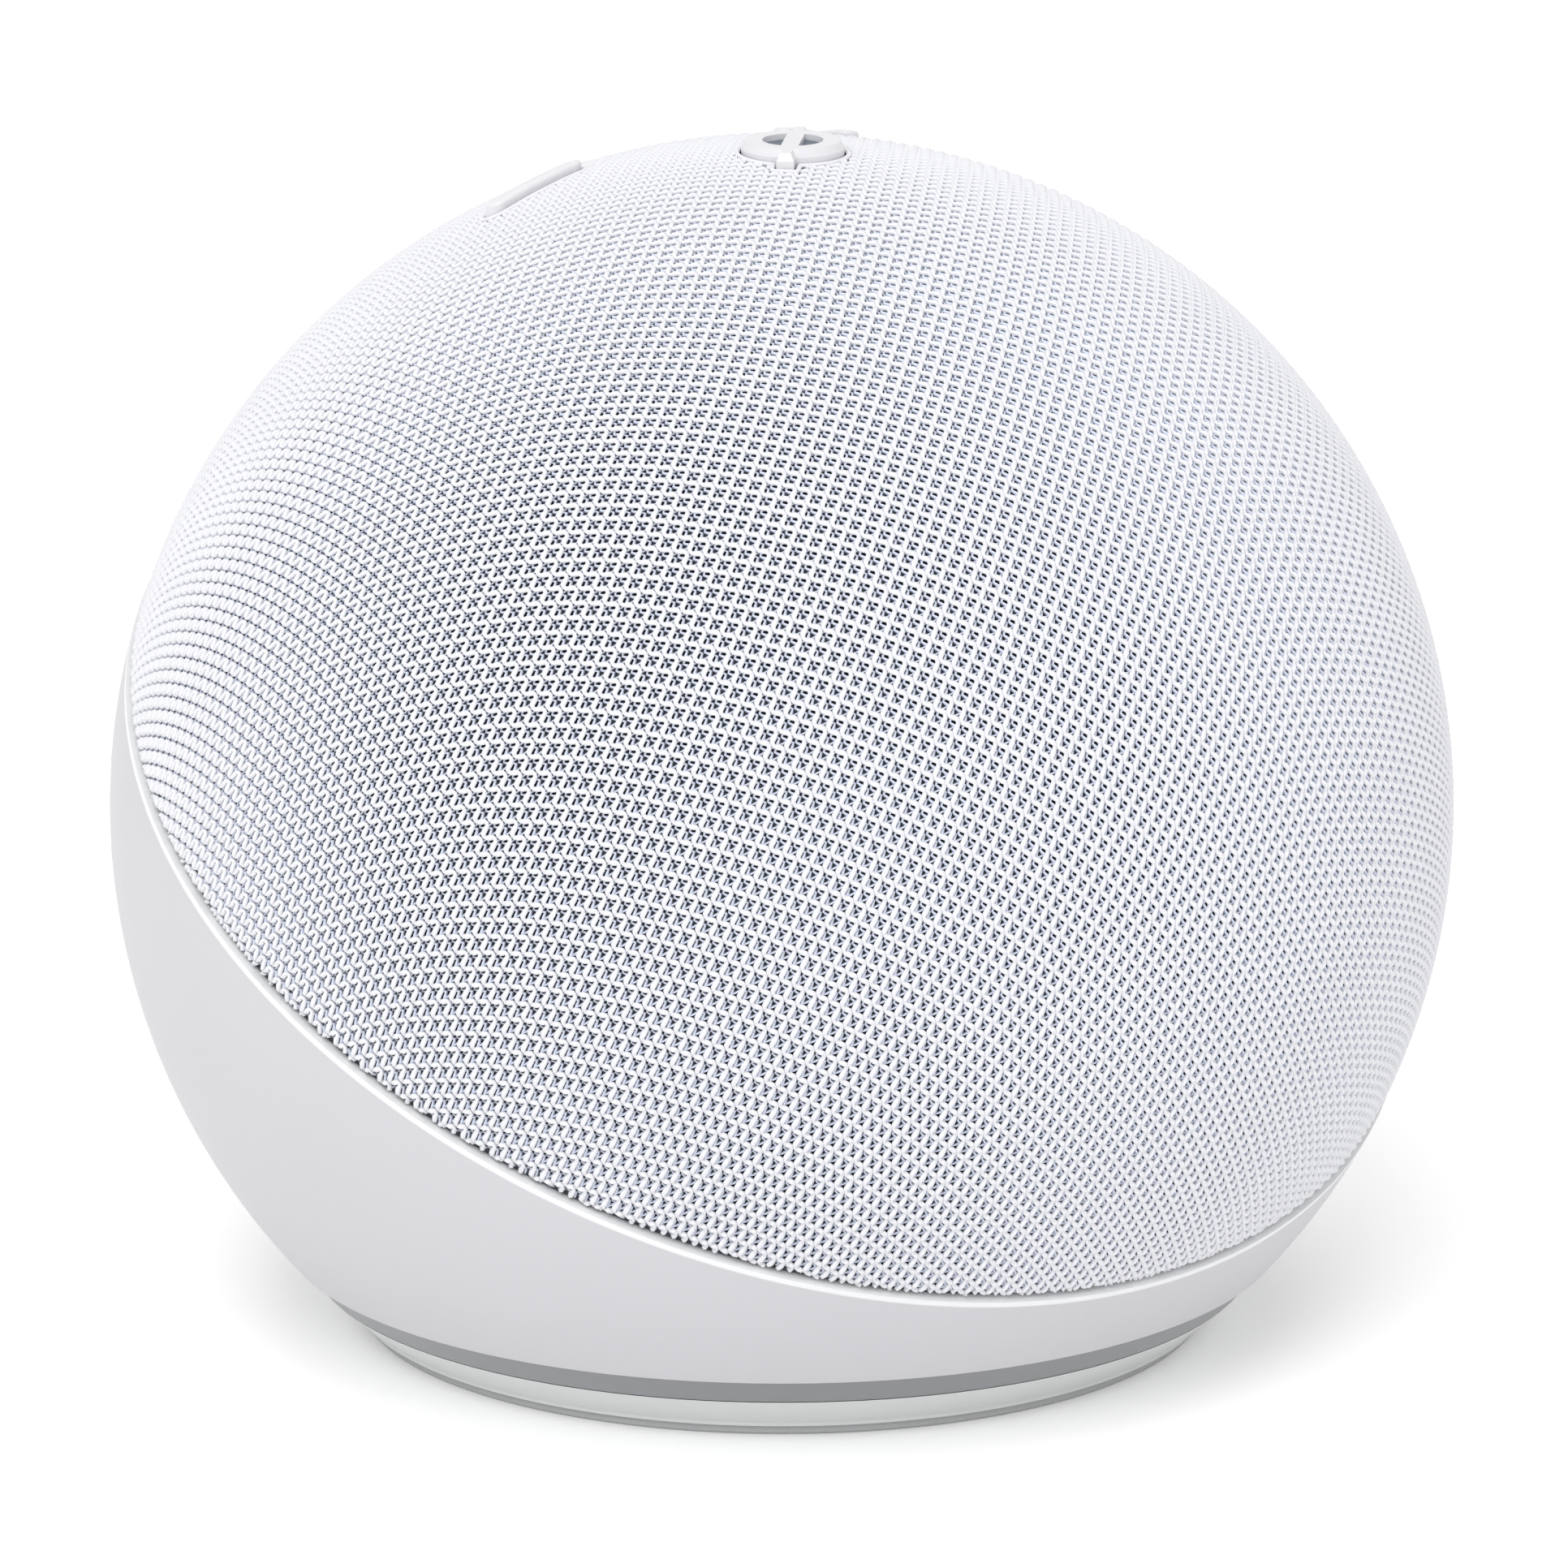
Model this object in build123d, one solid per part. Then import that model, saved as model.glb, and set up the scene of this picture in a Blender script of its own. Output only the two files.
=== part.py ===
from build123d import *
import os
from math import asin, atan2, cos, degrees, hypot, radians, sin, sqrt, tan

os.makedirs("parts", exist_ok=True)

# Ball-shaped smart speaker. Millimetres, +Z up, front towards -Y, origin on the table under the ball's centre.

# Covers
BALL_R = 50.0           # outside of the stretched knit
CENTRE_Z = 39.0         # ball centre above the table
SEAM_TILT = 29.6        # lean of the seam plane towards the front, degrees
SEAM_DROP = 2.75        # seam plane below the ball centre, square to the plane
KNIT_T = 0.8
DOME_R = BALL_R - KNIT_T - 0.05
DOME_IN = DOME_R - 1.8
SHELL_R = 50.2          # the plastic stands a little proud of the knit
SHELL_IN = SHELL_R - 2.2
SHELL_LOW = 5.85        # bottom edge of the shell above the table
LIP = 0.45              # chamfer along the seam
RIM_R = sqrt(SHELL_R ** 2 - SEAM_DROP ** 2)

# Base
FLOOR_Z = 8.2           # the shell's inner floor
FLOOR_TOP = 10.0
FLOOR_HOLE_R = 20.0
RING_TOP_R = 37.2
RING_LOW_R = 35.5
RING_LOW_Z = 3.65
FOOT_T = 0.72
FOOT_R = 31.9
PLATE_EDGE_R = 32.5
PLATE_TOP = 2.8
BASE_BOSS_R = 28.4      # circle of the base screws

# Main board and sockets
BOARD_Z = 13.2
BOARD_TOP = 14.4
BOARD_R = 37.0
BOARD_BOSS_R = 30.0
JACK_Z = 19.0
JACK_X = 8.0
JACK_BACK = 44.5
POWER_R = 2.85
POWER_MOUTH = 3.5       # free depth in front of the centre pin
AUDIO_R = 1.78

# Loudspeaker: its axis leans forward, F is the baffle's front face along it
SPK_TILT = 62.0
SPK_DROP = 1.5
F = 19.0
BAFFLE_R = 24.5
CUT_R = 20.4
LUG_R = 27.0
FLANGE_R = 23.4
FLANGE_SCREW_R = 22.0
CHAMBER_IN = 22.6
FORMER_R = 6.8

# Buttons, all pressed straight down
BTN_PROUD = 0.75
BTN_TRAVEL = 0.4
VOL_X = 13.5
VOL_Y = 12.5
TOP_BOARD_Z = 69.6
TOP_BOARD_T = 1.2
SWITCH_H = 2.0
CARRIER_Z = 74.45
CARRIER_T = 1.5
BTN_GAP = 0.3           # between a button and its opening
POSTS = ((12.0, -3.5), (-12.0, -3.5), (14.0, 22.0), (-14.0, 22.0))

CENTRE = Pos(0, 0, CENTRE_Z)
LEAN = radians(SPK_TILT)
SEAM = Plane(origin=(0, 0, CENTRE_Z), x_dir=(1, 0, 0),
             z_dir=(0, -sin(radians(SEAM_TILT)), cos(radians(SEAM_TILT))))
GRILLE = Plane(origin=(0, 0, CENTRE_Z), x_dir=(1, 0, 0), z_dir=(0, -sin(LEAN), cos(LEAN)))
SPEAKER = Plane(origin=(0, -SPK_DROP * cos(LEAN), CENTRE_Z - SPK_DROP * sin(LEAN)), x_dir=(1, 0, 0),
                z_dir=(0, -sin(LEAN), cos(LEAN)))


# Shapes used by many pieces

def lathe(points):
    """A closed outline of (radius, height) points, turned about Z."""
    return revolve(Plane.XZ * make_face(Polyline(*points, close=True)), Axis.Z)


def tube(outer, inner, low, high):
    """A straight ring about Z."""
    return lathe([(inner, low), (outer, low), (outer, high), (inner, high)])


def disc(radius, low, high, at=(0, 0)):
    """An upright cylinder between two heights."""
    return Pos(at[0], at[1], (low + high) / 2) * Cylinder(radius, high - low)


def block(x, y, z):
    """A box given by its three spans."""
    middle = ((x[0] + x[1]) / 2, (y[0] + y[1]) / 2, (z[0] + z[1]) / 2)
    return Pos(*middle) * Box(x[1] - x[0], y[1] - y[0], z[1] - z[0])


def rod_y(radius, x, y, z):
    """A cylinder along Y between two depths."""
    return Pos(x, (y[0] + y[1]) / 2, z) * Rot(90, 0, 0) * Cylinder(radius, y[1] - y[0])


def ball_cap(radius, low):
    """The piece of a ball about the origin that lies above a height."""
    start = degrees(asin(low / radius))
    outline = CenterArc((0, 0), radius, start, 90 - start)
    outline += Line((0, radius), (0, low))
    outline += Line((0, low), (radius * cos(radians(start)), low))
    return revolve(Plane.XZ * make_face(outline), Axis.Z)


def spots(radius, count, first=0.0):
    """Points spaced evenly on a circle."""
    angles = [radians(first + 360 * i / count) for i in range(count)]
    return [(radius * cos(a), radius * sin(a)) for a in angles]


def screw(at, seat, length, shank, head, up):
    """Round-headed screw with a cross recess; up means that its shank points up from the seat."""
    way = 1 if up else -1
    head_t = 0.55 * head
    shaft = disc(shank, *sorted((seat, seat + way * length)))
    cap = disc(head, *sorted((seat, seat - way * head_t)))
    cap = fillet(cap.edges().sort_by(Axis.Z)[0 if up else -1], 0.35 * head_t)
    recess = Box(head, 0.35, head_t) + Box(0.35, head, head_t)
    return Pos(at[0], at[1], 0) * (shaft + cap - Pos(0, 0, seat - way * head_t) * recess)


def bend_radii(points):
    """For each corner of a route, the largest arc that its two runs allow."""
    radii = []
    for a, b, c in zip(points, points[1:], points[2:]):
        first, second = Vector(*b) - Vector(*a), Vector(*c) - Vector(*b)
        half_turn = radians(first.get_angle(second)) / 2
        radii.append(0.45 * min(first.length, second.length) / tan(half_turn))
    return radii


def route(points, radii):
    """Straight runs joined by tangent arcs."""
    return FilletPolyline(*points, radius=radii)


def swept(section, path):
    """A section carried along a route that lies in a plane of constant X."""
    start = Plane(origin=path @ 0, x_dir=(1, 0, 0), z_dir=path % 0)
    return sweep(start * section, path=path)


# Button outlines, seen from above

def slash_icon(grow=0.0):
    """Circle with a slash."""
    return Circle(3.8 + grow) + Rot(0, 0, 45) * Rectangle(10.3 + 2 * grow, 1.3 + 2 * grow)


def bar_icon(grow=0.0):
    """Minus sign."""
    return SlotOverall(8.4 + 2 * grow, 1.8 + 2 * grow)


def plus_icon(grow=0.0):
    """Plus sign."""
    return bar_icon(grow) + Rot(0, 0, 90) * bar_icon(grow)


def dot_icon(grow=0.0):
    """Round action dot."""
    return Circle(3.6 + grow)


# Each button: its place, its outline and its flange radius
BUTTONS = {
    "mic_off_button": ((0.0, -1.2), slash_icon, 5.9),
    "volume_down_button": ((-VOL_X, VOL_Y), bar_icon, 4.9),
    "volume_up_button": ((VOL_X, VOL_Y), plus_icon, 4.9),
    "action_button": ((0.0, 26.0), dot_icon, 4.6),
}
MIC_AT = BUTTONS["mic_off_button"][0]
MIC_TOP = CENTRE_Z + sqrt(BALL_R ** 2 - MIC_AT[1] ** 2) + BTN_PROUD


def column(icon, at, low, high, grow=0.0):
    """An icon's prism between two heights."""
    return Pos(at[0], at[1], low) * extrude(icon(grow), high - low)


def button_wells(low=CARRIER_Z - 1):
    """The openings for the four buttons."""
    return [column(icon, at, low, 95, BTN_GAP) for at, icon, _ in BUTTONS.values()]


# Covers

def knit_cover():
    shell = ball_cap(BALL_R, 0.1 - SEAM_DROP) - ball_cap(BALL_R - KNIT_T, -SEAM_DROP - 1)
    return SEAM * shell - button_wells()


def speaker_posts():
    """Four posts behind the grille that the loudspeaker is screwed to."""
    posts = [disc(2.6, F + 0.1, 45, at) for at in spots(LUG_R, 4, 45)]
    return [(SPEAKER * post) & (CENTRE * Sphere(DOME_R - 0.6)) for post in posts]


def grille_holes():
    """Rings of sound holes about the loudspeaker's axis, left out over the posts."""
    holes = []
    for ring in range(7):
        for i in range(max(1, 6 * ring)):
            turn = radians(60 * i / max(1, ring))
            away = DOME_IN * sin(radians(6.6 * ring))
            near = [hypot(away * cos(turn) - x, away * sin(turn) - y) for x, y in spots(LUG_R, 4, 45)]
            if min(near) > 4.6:
                turned = Rot(0, 0, degrees(turn)) * Rot(0, 6.6 * ring, 0)
                holes.append(GRILLE * (turned * Pos(0, 0, DOME_R) * Cylinder(1.5, 8)))
    return holes


def side_post(side, low, high, rib, ball):
    """Post near the side wall that a dome screw runs in, with a rib to the wall."""
    post = disc(2.6, low, high, (side * 38.4, 12.0))
    web = block(sorted((side * 38.4, side * 49.0)), (11.0, 13.0), rib)
    return (post + web) & (CENTRE * Sphere(ball))


def grille_dome():
    """Rigid dome under the knit. Its tongue goes inside the rear shell."""
    wall = ball_cap(DOME_R, 0.1 - SEAM_DROP) - ball_cap(DOME_IN, -SEAM_DROP - 1)
    tongue = tube(SHELL_IN - 0.8, SHELL_IN - 2.3, -SEAM_DROP - 2.8, 1.0 - SEAM_DROP)
    tongue += tube(DOME_R - 0.8, SHELL_IN - 2.3, 0.15 - SEAM_DROP, 1.6 - SEAM_DROP)
    dome = SEAM * (wall + tongue) - grille_holes() - button_wells()
    for post in speaker_posts():
        dome += post
    for at in POSTS:
        dome += disc(2.4, CARRIER_Z + CARRIER_T + 0.05, 90, at) & (CENTRE * Sphere(DOME_R - 0.6))
        dome -= disc(0.85, 70, 78.9, at)
    for at in spots(LUG_R, 4, 45):
        dome -= SPEAKER * disc(0.85, F - 1, F + 8, at)
    for side in (-1, 1):
        dome += side_post(side, 43.6, 58, (47, 58), DOME_R - 0.6)
        dome -= disc(0.85, 40, 52, (side * 38.4, 12.0))
    return dome


def rear_shell():
    """Ball-shaped shell below the seam, with an inner floor and the screw posts."""
    shell = CENTRE * Sphere(SHELL_R)
    shell -= SEAM * block((-60, 60), (-60, 60), (-SEAM_DROP, 60))
    shell -= block((-60, 60), (-60, 60), (-20, SHELL_LOW))
    shell -= CENTRE * Sphere(SHELL_IN) - block((-60, 60), (-60, 60), (-20, FLOOR_TOP))
    shell -= lathe([(0, 4), (34.4, 4), (34.4, 7.0), (35.2, FLOOR_Z), (0, FLOOR_Z)])
    shell -= SEAM * lathe([(RIM_R - LIP, -SEAM_DROP), (RIM_R + 0.6, -SEAM_DROP - LIP - 0.6),
                           (RIM_R + 2, -SEAM_DROP), (RIM_R + 2, 1), (RIM_R - LIP, 1)])
    shell -= disc(FLOOR_HOLE_R, 0, FLOOR_TOP + 1)
    shell -= block((-4, 4), (23.6, 26.4), (0, FLOOR_TOP + 1))
    for at in spots(BASE_BOSS_R, 4, 45):
        shell += disc(2.4, PLATE_TOP + 0.1, FLOOR_Z + 0.2, at)
        shell -= disc(0.95, PLATE_TOP, 7.6, at)
    for at in spots(BOARD_BOSS_R, 4, 45):
        shell += disc(2.6, FLOOR_TOP - 0.2, BOARD_Z - 0.05, at)
        shell -= disc(0.85, 10.4, BOARD_Z, at)
    for x, opening in ((JACK_X, 4.3), (-JACK_X, 3.1)):
        shell -= rod_y(opening, x, (38, 52), JACK_Z)
    for side in (-1, 1):
        shell += side_post(side, 30, 41.6, (30, 36.4), SHELL_R - 0.6)
        shell -= disc(0.85, 28, 44, (side * 38.4, 12.0))
    return shell


def dome_screws():
    return Compound([screw((side * 38.4, 12.0), 29.95, 20.0, 0.8, 1.9, True) for side in (-1, 1)])


# Base

def light_ring():
    low, top = RING_LOW_Z + 0.08, SHELL_LOW - 0.06
    return lathe([(31.2, low), (RING_LOW_R, low), (RING_TOP_R, top), (34.2, top), (34.2, top + 0.26),
                  (31.2, top + 0.26)])


def base_plate():
    top = RING_LOW_Z - 0.02
    plate = lathe([(0, FOOT_T), (PLATE_EDGE_R - 0.45, FOOT_T), (PLATE_EDGE_R - 0.1, FOOT_T + 0.12),
                   (PLATE_EDGE_R, FOOT_T + 0.4), (RING_LOW_R - 0.1, top), (33.2, top), (33.2, PLATE_TOP),
                   (0, PLATE_TOP)])
    for at in spots(BASE_BOSS_R, 4, 45):
        plate -= disc(1.3, 0, 4, at)
        plate -= disc(2.3, 0, FOOT_T + 1.2, at)
    return plate


def foot_pad():
    return lathe([(24.0, 0.15), (24.2, 0), (FOOT_R - 0.2, 0), (FOOT_R, 0.2), (FOOT_R, FOOT_T), (24.0, FOOT_T)])


def base_screws():
    return Compound([screw(at, FOOT_T + 1.2, 5.3, 0.9, 1.9, True) for at in spots(BASE_BOSS_R, 4, 45)])


def led_board():
    return tube(34.0, 31.4, 6.95, 7.75)


def led_chips():
    """Sixteen lamps that shine down into the light ring."""
    lamps = [Pos(x, y, 6.6) * Rot(0, 0, degrees(atan2(y, x))) * Box(1.6, 1.6, 0.7) for x, y in spots(32.7, 16)]
    return Compound(lamps)


def led_ribbon():
    points = [(0, 31.2, 7.35), (0, 25.0, 7.35), (0, 25.0, BOARD_Z - 0.05)]
    return swept(Rectangle(6.0, 0.2), route(points, [3.0]))


# Electronics at the bottom

def heat_spreader():
    """Cast plate over the hole in the floor, with a pad seat above and fins below."""
    plate = disc(24.0, FLOOR_TOP + 0.05, 11.25)
    plate -= block((-4, 4), (22.6, 30), (0, 20))
    plate += block((-11, 11), (-13, 9), (11.2, BOARD_Z - 0.85))
    for i in range(9):
        x = 4.0 * (i - 4)
        plate += block((x - 0.6, x + 0.6), (-9, 9), (5.6, FLOOR_TOP + 0.2))
    return plate


def thermal_pad():
    return block((-10, 10), (-12, 8), (BOARD_Z - 0.85, BOARD_Z - 0.05))


def main_board():
    board = disc(BOARD_R, BOARD_Z, BOARD_TOP) - block((-20, 20), (-40, -27), (0, 40))
    for at in spots(BOARD_BOSS_R, 4, 45):
        board -= disc(1.1, 0, 40, at)
    return board


def main_board_screws():
    return Compound([screw(at, BOARD_TOP, 3.6, 0.8, 1.8, False) for at in spots(BOARD_BOSS_R, 4, 45)])


def board_shields():
    """Thin pressed cans over the processor and the radio."""
    cans = []
    for x, y in (((-12, 8), (-6, 12)), ((11, 25), (-12, 0))):
        can = fillet(block(x, y, (BOARD_TOP, BOARD_TOP + 2.2)).edges() | Axis.Z, 0.8)
        cans.append(can - block((x[0] + 0.3, x[1] - 0.3), (y[0] + 0.3, y[1] - 0.3), (0, BOARD_TOP + 1.9)))
    return Compound(cans)


def board_chips():
    """Processor, memory, radio, amplifier and converters: spans in X and Y, and height."""
    sizes = [((-9, 2), (-4, 8), 1.2), ((3.6, 7), (0, 9), 1.0), ((13, 20), (-10, -3), 1.0),
             ((-26, -20), (-10, -3), 0.9), ((-25, -20), (2, 7), 0.9), ((-8, -3), (-20, -16), 0.9)]
    return Compound([block(x, y, (BOARD_TOP, BOARD_TOP + h)) for x, y, h in sizes])


def power_parts():
    """Two inductors and three capacitors."""
    parts = [fillet(block(x, y, (BOARD_TOP, BOARD_TOP + h)).edges() | Axis.Z, 1.1)
             for x, y, h in (((-26, -20), (11, 17), 3.0), ((17, 22), (6, 11), 2.6))]
    parts += [disc(2.0, BOARD_TOP, BOARD_TOP + 5.2, at) for at in ((19.5, 15.0), (26.0, 9.5), (-14.8, 22.0))]
    return Compound(parts)


def jack(x, nose_r, width, depth):
    """Moulded socket on the board, with its round nose in the shell's opening."""
    shoulder = JACK_BACK - 5.6
    body = block((x - width / 2, x + width / 2), (shoulder - depth, shoulder), (BOARD_TOP, JACK_Z + width / 2 - 0.4))
    return body + rod_y(nose_r, x, (shoulder - 1, JACK_BACK), JACK_Z)


def power_jack():
    """Round power socket: a free mouth, then the barrel with its centre pin."""
    step = JACK_BACK - POWER_MOUTH
    body = jack(JACK_X, 4.0, 9.0, 12.0)
    body -= rod_y(POWER_R, JACK_X, (step, JACK_BACK + 1), JACK_Z)
    body -= rod_y(POWER_R + 0.25, JACK_X, (step - 6.0, step), JACK_Z)
    return body + rod_y(0.95, JACK_X, (step - 8.0, step - 0.8), JACK_Z)


def audio_jack():
    body = jack(-JACK_X, 2.8, 6.6, 12.0)
    return body - rod_y(AUDIO_R, -JACK_X, (30, JACK_BACK + 1), JACK_Z)


def wifi_antennas():
    """Two small boards that stand on the main board."""
    return Compound([block((x - 0.4, x + 0.4), (-14, 0), (BOARD_TOP, 28)) for x in (-31.5, 31.5)])


def board_connectors():
    """Ribbon connector under the top board, and on the main board those of the ribbon and the speaker wires."""
    return Compound([block((-4, 4), (14, 18.5), (TOP_BOARD_Z - 1.4, TOP_BOARD_Z)),
                     block((-4, 4), (20.5, 24.0), (BOARD_TOP, BOARD_TOP + 2.0)),
                     block((-3, 3), (14.5, 18.0), (BOARD_TOP, BOARD_TOP + 4.2))])


# Loudspeaker, drawn about its own axis with its front towards +Z

def baffle():
    plate = tube(BAFFLE_R, CUT_R, F - 2.4, F)
    for at in spots(LUG_R, 4, 45):
        plate += disc(3.0, F - 2.4, F, at) - disc(BAFFLE_R - 0.5, 0, 40)
        plate -= disc(1.05, F - 6, F + 1, at)
    for at in spots(FLANGE_SCREW_R, 4):
        plate -= disc(0.85, F - 3, F + 1, at)
    return SPEAKER * plate


def chamber():
    """Rear cup of the loudspeaker's enclosure."""
    cup = lathe([(0, F - 27.0), (16.5, F - 27.0), (24.4, F - 15.0), (24.4, F - 2.9), (CHAMBER_IN, F - 2.9),
                 (CHAMBER_IN, F - 14.2), (15.4, F - 25.2), (0, F - 25.2)])
    for at in spots(LUG_R, 4, 45):
        cup += disc(3.0, F - 6.0, F - 2.9, at) - disc(24.0, -40, 40)
        cup -= disc(1.05, F - 8, F, at)
    cup -= disc(2.6, F - 30, F - 20, (0, -12.5))
    return SPEAKER * cup


def chamber_gasket():
    return SPEAKER * tube(24.3, 22.8, F - 2.87, F - 2.43)


def chamber_screws():
    return SPEAKER * Compound([screw(at, F - 6.0, 13.0, 0.8, 1.9, True) for at in spots(LUG_R, 4, 45)])


def wire_grommet():
    collar = lathe([(1.9, F - 27.9), (3.4, F - 27.9), (3.4, F - 27.05), (2.55, F - 27.05), (2.55, F - 25.15),
                    (3.0, F - 25.15), (3.0, F - 24.6), (1.9, F - 24.6)])
    return SPEAKER * (Pos(0, -12.5, 0) * collar)


def driver_basket():
    """Pressed frame: flange, four legs and a rear ring."""
    legs = lathe([(18.4, F - 8.6), (19.2, F - 8.6), (19.9, F + 0.5), (19.4, F + 0.5)])
    for turn in (45, 135, 225, 315):
        legs -= Rot(0, 0, turn) * block((12, 24), (-7.5, 7.5), (F - 8.2, F - 1.0))
    frame = tube(FLANGE_R, 19.4, F + 0.45, F + 1.5) + legs + tube(19.2, 10.2, F - 9.4, F - 8.5)
    for at in spots(FLANGE_SCREW_R, 4):
        frame -= disc(1.0, F - 3, F + 3, at)
    return SPEAKER * frame


def driver_gasket():
    seal = tube(FLANGE_R - 0.2, 20.5, F + 0.02, F + 0.42)
    for at in spots(FLANGE_SCREW_R, 4):
        seal -= disc(1.0, F - 1, F + 1, at)
    return SPEAKER * seal


def driver_screws():
    return SPEAKER * Compound([screw(at, F + 1.5, 3.6, 0.8, 1.25, False) for at in spots(FLANGE_SCREW_R, 4)])


def driver_top_plate():
    return SPEAKER * tube(15.0, 7.6, F - 11.8, F - 9.43)


def driver_magnet():
    return SPEAKER * tube(15.8, 8.6, F - 17.4, F - 11.83)


def driver_yoke():
    """Rear plate with the centre pole."""
    return SPEAKER * lathe([(0, F - 20.0), (14.2, F - 20.0), (15.0, F - 19.2), (15.0, F - 17.43),
                            (6.1, F - 17.43), (6.1, F - 9.4), (0, F - 9.4)])


def voice_coil():
    """Former with the winding round its rear end."""
    return SPEAKER * (tube(FORMER_R, 6.55, F - 13.6, F - 3.8) + tube(7.2, 6.75, F - 12.9, F - 8.5))


def driver_cone():
    """Shallow cone, glued to the former, with a narrow rim for the surround."""
    return SPEAKER * lathe([(FORMER_R + 0.03, F - 4.6), (7.1, F - 4.6), (16.1, F + 1.1), (16.9, F + 1.1),
                            (16.9, F + 1.5), (15.9, F + 1.5), (FORMER_R + 0.03, F - 4.1)])


def dust_cap():
    """Domed cap that closes the middle of the cone."""
    rise, rim = 2.2, 7.6
    radius = (rim ** 2 + rise ** 2) / (2 * rise)
    cap = ball_cap(radius, radius - rise) - ball_cap(radius - 0.4, radius - rise - 1)
    return SPEAKER * (Pos(0, 0, F - 3.62 - (radius - rise)) * cap)


def surround():
    """Half-roll rubber edge from the cone's rim to the basket's flange."""
    low, top = F + 1.52, F + 1.92
    edge = Polyline((17.5, low), (15.95, low), (15.95, top), (17.166, top))
    edge += ThreePointArc((17.166, top), (18.35, low + 1.25), (19.534, top))
    edge += Polyline((19.534, top), (20.5, top), (20.5, low), (19.2, low))
    edge += ThreePointArc((19.2, low), (18.35, low + 0.85), (17.5, low))
    return SPEAKER * revolve(Plane.XZ * make_face(edge), Axis.Z)


def spider():
    """Corrugated cloth disc that centres the voice coil."""
    inner, outer, steps = FORMER_R + 0.05, 18.2, 12
    ridge = [(inner + (outer - inner) * i / steps, F - (7.5 if i % 2 else 8.05)) for i in range(steps + 1)]
    return SPEAKER * lathe(ridge + [(r, z - 0.3) for r, z in reversed(ridge)])


def speaker_terminals():
    return SPEAKER * block((-4, 4), (-20.6, -19.8), (F - 8.4, F - 4.0))


def on_speaker(y, z):
    """Y and Z of a point in the loudspeaker's middle plane."""
    return (SPEAKER.origin.Y + y * cos(LEAN) - z * sin(LEAN), SPEAKER.origin.Z + y * sin(LEAN) + z * cos(LEAN))


def speaker_wires():
    """Pair of wires from the driver's tags, out through the grommet, to the main board."""
    inside = [on_speaker(-20.2, F - 8.5), on_speaker(-18.6, F - 12.5), on_speaker(-17.4, F - 19.0),
              on_speaker(-12.5, F - 23.0), on_speaker(-12.5, F - 29.5)]
    line = inside + [(9.0, 18.4), (14.45, 17.7)]
    wires = []
    for x in (-1.1, 1.1):
        points = [(x, y, z) for y, z in line]
        wires.append(swept(Circle(0.5), route(points, bend_radii(points))))
    return Compound(wires)


# Top board, carrier and buttons

def top_outline(half_width, front, back, reach, low, high):
    """Rounded plate under the dome, cut back to a radius."""
    plate = fillet(block((-half_width, half_width), (front, back), (low, high)).edges() | Axis.Z, 3)
    return plate & disc(reach, low, high)


def button_board():
    board = top_outline(19.0, -8.5, 31.0, 33.5, TOP_BOARD_Z, TOP_BOARD_Z + TOP_BOARD_T)
    for at in POSTS:
        board -= disc(1.1, 60, 80, at)
    return board


def button_carrier():
    """Plate that the buttons slide in, on four legs that stand on the board."""
    carrier = top_outline(19.5, -8.5, 29.0, 28.8, CARRIER_Z, CARRIER_Z + CARRIER_T)
    for well in button_wells():
        carrier -= well
    for at in POSTS:
        carrier += disc(2.5, TOP_BOARD_Z + TOP_BOARD_T + 0.02, CARRIER_Z + 0.5, at)
        carrier -= disc(1.1, 60, 80, at)
    return carrier


def button_board_screws():
    return Compound([screw(at, TOP_BOARD_Z, 8.6, 0.8, 1.9, True) for at in POSTS])


def tact_switches():
    low = TOP_BOARD_Z + TOP_BOARD_T
    switches = []
    for (x, y), _, _ in BUTTONS.values():
        body = block((x - 2.25, x + 2.25), (y - 2.25, y + 2.25), (low, low + 1.4))
        switches.append(body + disc(1.0, low + 1.3, low + SWITCH_H, (x, y)))
    return Compound(switches)


def microphones():
    low = TOP_BOARD_Z + TOP_BOARD_T
    places = ((-7.0, -5.6), (7.0, -5.6), (-7.5, 26.5), (7.5, 26.5))
    return Compound([block((x - 1.75, x + 1.75), (y - 1.3, y + 1.3), (low, low + 1.0)) for x, y in places])


def top_ribbon():
    """Flat cable from the top board, down behind the loudspeaker, to the main board."""
    points = [(0, 18.55, TOP_BOARD_Z - 0.7), (0, 28.5, TOP_BOARD_Z - 0.7), (0, 28.5, 15.4), (0, 24.05, 15.4)]
    return swept(Rectangle(6.0, 0.25), route(points, [7.0, 4.0]))


def plunger(at, flange_r):
    """What every button has under its icon: a flange that stops below the carrier, and a nib over the switch."""
    top = CARRIER_Z - 0.05
    nib_low = TOP_BOARD_Z + TOP_BOARD_T + SWITCH_H + BTN_TRAVEL + 0.05
    return disc(flange_r, top - 0.8, top, at) + disc(1.2, nib_low, top - 0.7, at)


def domed_button(name):
    """A button whose top follows the ball."""
    at, icon, flange_r = BUTTONS[name]
    stem = column(icon, at, CARRIER_Z - 0.2, 95) & (CENTRE * Sphere(BALL_R + BTN_PROUD))
    stem = fillet(stem.faces().sort_by(Axis.Z)[-1].edges(), 0.3)
    return stem + plunger(at, flange_r)


def volume_down_button():
    return domed_button("volume_down_button")


def volume_up_button():
    return domed_button("volume_up_button")


def action_button():
    return domed_button("action_button")


def window_moons(shrink=0.0):
    """The two half-moons inside the circle, either side of the slash."""
    return Circle(2.25 - shrink) - Rot(0, 0, 45) * Rectangle(10, 1.3 + 2 * shrink)


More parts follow.
